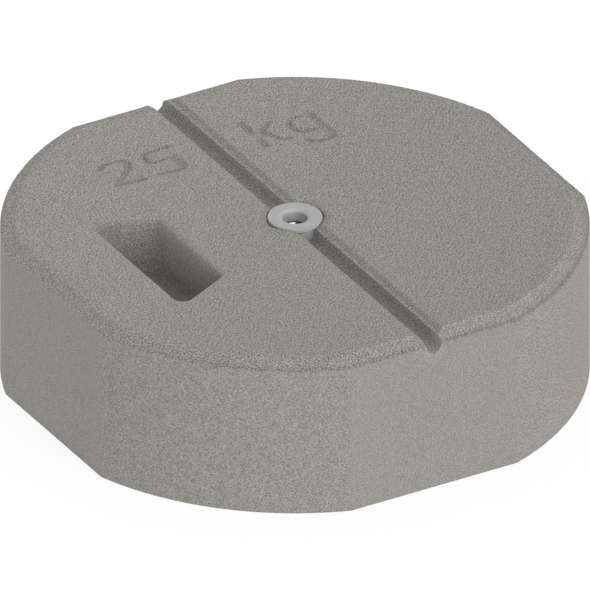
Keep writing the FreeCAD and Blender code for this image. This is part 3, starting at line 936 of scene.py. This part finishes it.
castConcrete = {
    "colour": (0.2840, 0.2714, 0.2510),
    "turn": (0.62, 0.41, 0.93),      # radians about each axis
    "sandScale": 920.0,              # per metre
    "sandStep": 0.0006,              # metres along each axis to the four neighbours
    "sandContrast": 1.27,
    "cloudScale": 14.0,
    "cloudContrast": 0.05,
    "reliefStrength": 0.6,
    "reliefHeight": 0.0001,
    "roughness": 0.92,
    "sheen": 0.2,
}


def concreteFinish():
    # sandy skin: a noise of 1.1 mm less the mean of the same noise at four neighbours round it, so only fine
    # grains and pores are left; its height drives the bump, and the mesh says where it is smoother or darker
    finish = Finish(bpy.data.materials.new("castConcrete"))
    # the noise is turned so that none of the flat faces lies along its cells
    place = finish.node("ShaderNodeMapping", None, {
        "Vector": finish.place(), "Rotation": castConcrete["turn"]})
    grain = finish.fromMesh("grain")
    tone = finish.fromMesh("tone")

    def sandAt(shift):
        moved = finish.node("ShaderNodeVectorMath", {"operation": "ADD"}, {0: place, 1: shift})
        return finish.noise(moved, castConcrete["sandScale"])

    step = castConcrete["sandStep"]
    neighbours = sandAt((step, step, step)) + sandAt((step, -step, -step)) + sandAt((-step, step, -step))
    neighbours = neighbours + sandAt((-step, -step, step))
    relief = sandAt((0, 0, 0)) - neighbours * 0.25
    cloud = finish.noise(place, castConcrete["cloudScale"], detail=2.0) - 0.5
    share = 1.0 + relief * grain * castConcrete["sandContrast"] + cloud * castConcrete["cloudContrast"]
    bump = finish.node("ShaderNodeBump", None, {
        "Height": relief * grain,
        "Strength": castConcrete["reliefStrength"],
        "Distance": castConcrete["reliefHeight"]})
    return finish.surface({
        "Base Color": finish.tinted(castConcrete["colour"], tone * share),
        "Roughness": castConcrete["roughness"],
        "Specular IOR Level": castConcrete["sheen"],
        "Normal": bump})


mouldedPlastic = {
    "colour": (0.370, 0.369, 0.369),
    "sparkScale": 1800.0,
    "sparkContrast": 0.03,
    "flowScale": 120.0,
    "flowBend": 0.6,
    "flowContrast": 0.05,
    "reliefStrength": 0.15,
    "reliefHeight": 0.0001,
    "roughness": 0.42,
    "roughnessSwing": 0.12,
    "sheen": 0.4,
}


def plasticFinish():
    # satin moulding: faint flow marks round the gate and a fine spark-eroded texture
    finish = Finish(bpy.data.materials.new("mouldedPlastic"))
    place = finish.place()
    spark = finish.noise(place, mouldedPlastic["sparkScale"], detail=1.0)
    flow = finish.noise(place, mouldedPlastic["flowScale"], detail=2.0, bend=mouldedPlastic["flowBend"])
    flow = flow - 0.5
    share = 1.0 + flow * mouldedPlastic["flowContrast"] + (spark - 0.5) * mouldedPlastic["sparkContrast"]
    bump = finish.node("ShaderNodeBump", None, {
        "Height": spark,
        "Strength": mouldedPlastic["reliefStrength"],
        "Distance": mouldedPlastic["reliefHeight"]})
    return finish.surface({
        "Base Color": finish.tinted(mouldedPlastic["colour"], finish.fromMesh("tone") * share),
        "Roughness": mouldedPlastic["roughness"] + flow * mouldedPlastic["roughnessSwing"],
        "Specular IOR Level": mouldedPlastic["sheen"],
        "Normal": bump})


platedSteel = {
    "colour": (0.78, 0.79, 0.80),
    "cloudScale": 300.0,
    "cloudContrast": 0.08,
    "ringScale": 900.0,
    "ringBend": 0.4,
    "reliefStrength": 0.08,
    "reliefHeight": 0.00003,
    "roughness": 0.16,
    "roughnessSwing": 0.1,
}


def steelFinish():
    # turned steel under bright zinc: fine rings from the tool, cloudier where the plate is thin
    finish = Finish(bpy.data.materials.new("platedSteel"))
    place = finish.place()
    cloud = finish.noise(place, platedSteel["cloudScale"], detail=2.0)
    rings = finish.node("ShaderNodeTexWave", {"wave_type": "RINGS", "rings_direction": "Z"}, {
        "Vector": place,
        "Scale": platedSteel["ringScale"],
        "Distortion": platedSteel["ringBend"]}, output="Fac")
    share = 1.0 + (cloud - 0.5) * platedSteel["cloudContrast"]
    bump = finish.node("ShaderNodeBump", None, {
        "Height": rings,
        "Strength": platedSteel["reliefStrength"],
        "Distance": platedSteel["reliefHeight"]})
    return finish.surface({
        # the tone from the mesh paints the plate near black as shade, with a painted glint on the lead-in
        "Base Color": finish.tinted(platedSteel["colour"], finish.fromMesh("tone") * share),
        "Metallic": 1.0,
        "Roughness": platedSteel["roughness"] + cloud * platedSteel["roughnessSwing"],
        "Normal": bump})


for piece, node, slotName, finish in (
    (concreteBlock, "concrete_weight", "concrete", concreteFinish()),
    (bushMoulding, "centre_bush", "bush_plastic", plasticFinish()),
    (socketSleeve, "threaded_socket", "plated_steel", steelFinish()),
):
    piece.data.materials.append(finish)
    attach(piece, "root")
    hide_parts(node)

# floor, light and camera, in metres

studio = {
    "floorReach": 6.0,
    "floorColour": (0.95, 0.95, 0.95, 1.0),
    "floorGlow": 1.05,
    "glowShare": 0.8,        # of the floor that the camera sees
    "white": (1, 1, 1, 1),
    "worldStrength": 0.90,
    "sunStrength": 0.95,
    "sunFrom": (0.35, -0.88, 0.30),
    "sunSpread": 40.0,
}
view = {
    "azimuth": -30.0,
    "elevation": 30.0,
    "width": 0.3719,         # metres across the frame, seen in parallel
    "aim": (0.0000218, -0.0000126, 0.05195),
    "distance": 1.6,
    "farthest": 50,
}


def seenDirectly(finish):
    # 1 for rays that show the background itself: from the camera, off metal, through glass
    rays = ("Is Camera Ray", "Is Glossy Ray", "Is Transmission Ray")
    camera, glossy, through = [finish.node("ShaderNodeLightPath", output=name) for name in rays]
    return finish.node("ShaderNodeMath", {"operation": "ADD", "use_clamp": True}, {
        0: camera + glossy, 1: through})


def putFloor():
    # one pale sheet whose glow only the camera sees, so that the shadow stays and the rest turns white
    reach = studio["floorReach"]
    mesh = bpy.data.meshes.new("floor")
    corners = [(-reach, -reach, 0), (reach, -reach, 0), (reach, reach, 0), (-reach, reach, 0)]
    mesh.from_pydata(corners, [], [(0, 1, 2, 3)])
    finish = Finish(bpy.data.materials.new("paleFloor"))
    plain = finish.node("ShaderNodeBsdfDiffuse", None, {"Color": studio["floorColour"]})
    glow = finish.node("ShaderNodeEmission", None, {
        "Color": studio["white"], "Strength": studio["floorGlow"]})
    mixed = finish.node("ShaderNodeMixShader", None, {
        0: seenDirectly(finish) * studio["glowShare"], 1: plain, 2: glow})
    finish.node("ShaderNodeOutputMaterial", None, {"Surface": mixed})
    mesh.materials.append(finish.owner)
    floor = bpy.data.objects.new("floor", mesh)
    bpy.context.scene.collection.objects.link(floor)


def putLight():
    # a white world, full strength only where it is seen itself, and one broad sun from the front
    world = bpy.data.worlds.new("studio")
    bpy.context.scene.world = world
    finish = Finish(world)
    direct = seenDirectly(finish)
    strength = direct + (1.0 - direct) * studio["worldStrength"]
    sky = finish.node("ShaderNodeBackground", None, {"Color": studio["white"], "Strength": strength})
    finish.node("ShaderNodeOutputWorld", None, {"Surface": sky})
    sun = bpy.data.objects.new("softFront", bpy.data.lights.new("softFront", "SUN"))
    sun.data.energy = studio["sunStrength"]
    sun.data.angle = math.radians(studio["sunSpread"])
    sun.rotation_mode = "QUATERNION"
    sun.rotation_quaternion = Vector(studio["sunFrom"]).to_track_quat("Z", "Y")
    bpy.context.scene.collection.objects.link(sun)


def putCamera():
    # a parallel view, turned by the azimuth and raised by the elevation
    turn = math.radians(view["azimuth"])
    lift = math.radians(view["elevation"])
    back = Vector((math.sin(turn) * math.cos(lift), -math.cos(turn) * math.cos(lift), math.sin(lift)))
    camera = bpy.data.objects.new("camera", bpy.data.cameras.new("camera"))
    camera.data.type = "ORTHO"
    camera.data.ortho_scale = view["width"]
    camera.data.clip_end = view["farthest"]
    camera.location = Vector(view["aim"]) + back * view["distance"]
    camera.rotation_mode = "QUATERNION"
    camera.rotation_quaternion = (-back).to_track_quat("-Z", "Y")
    bpy.context.scene.collection.objects.link(camera)
    bpy.context.scene.camera = camera


putFloor()
putLight()
putCamera()
bpy.context.scene.view_settings.view_transform = "Standard"
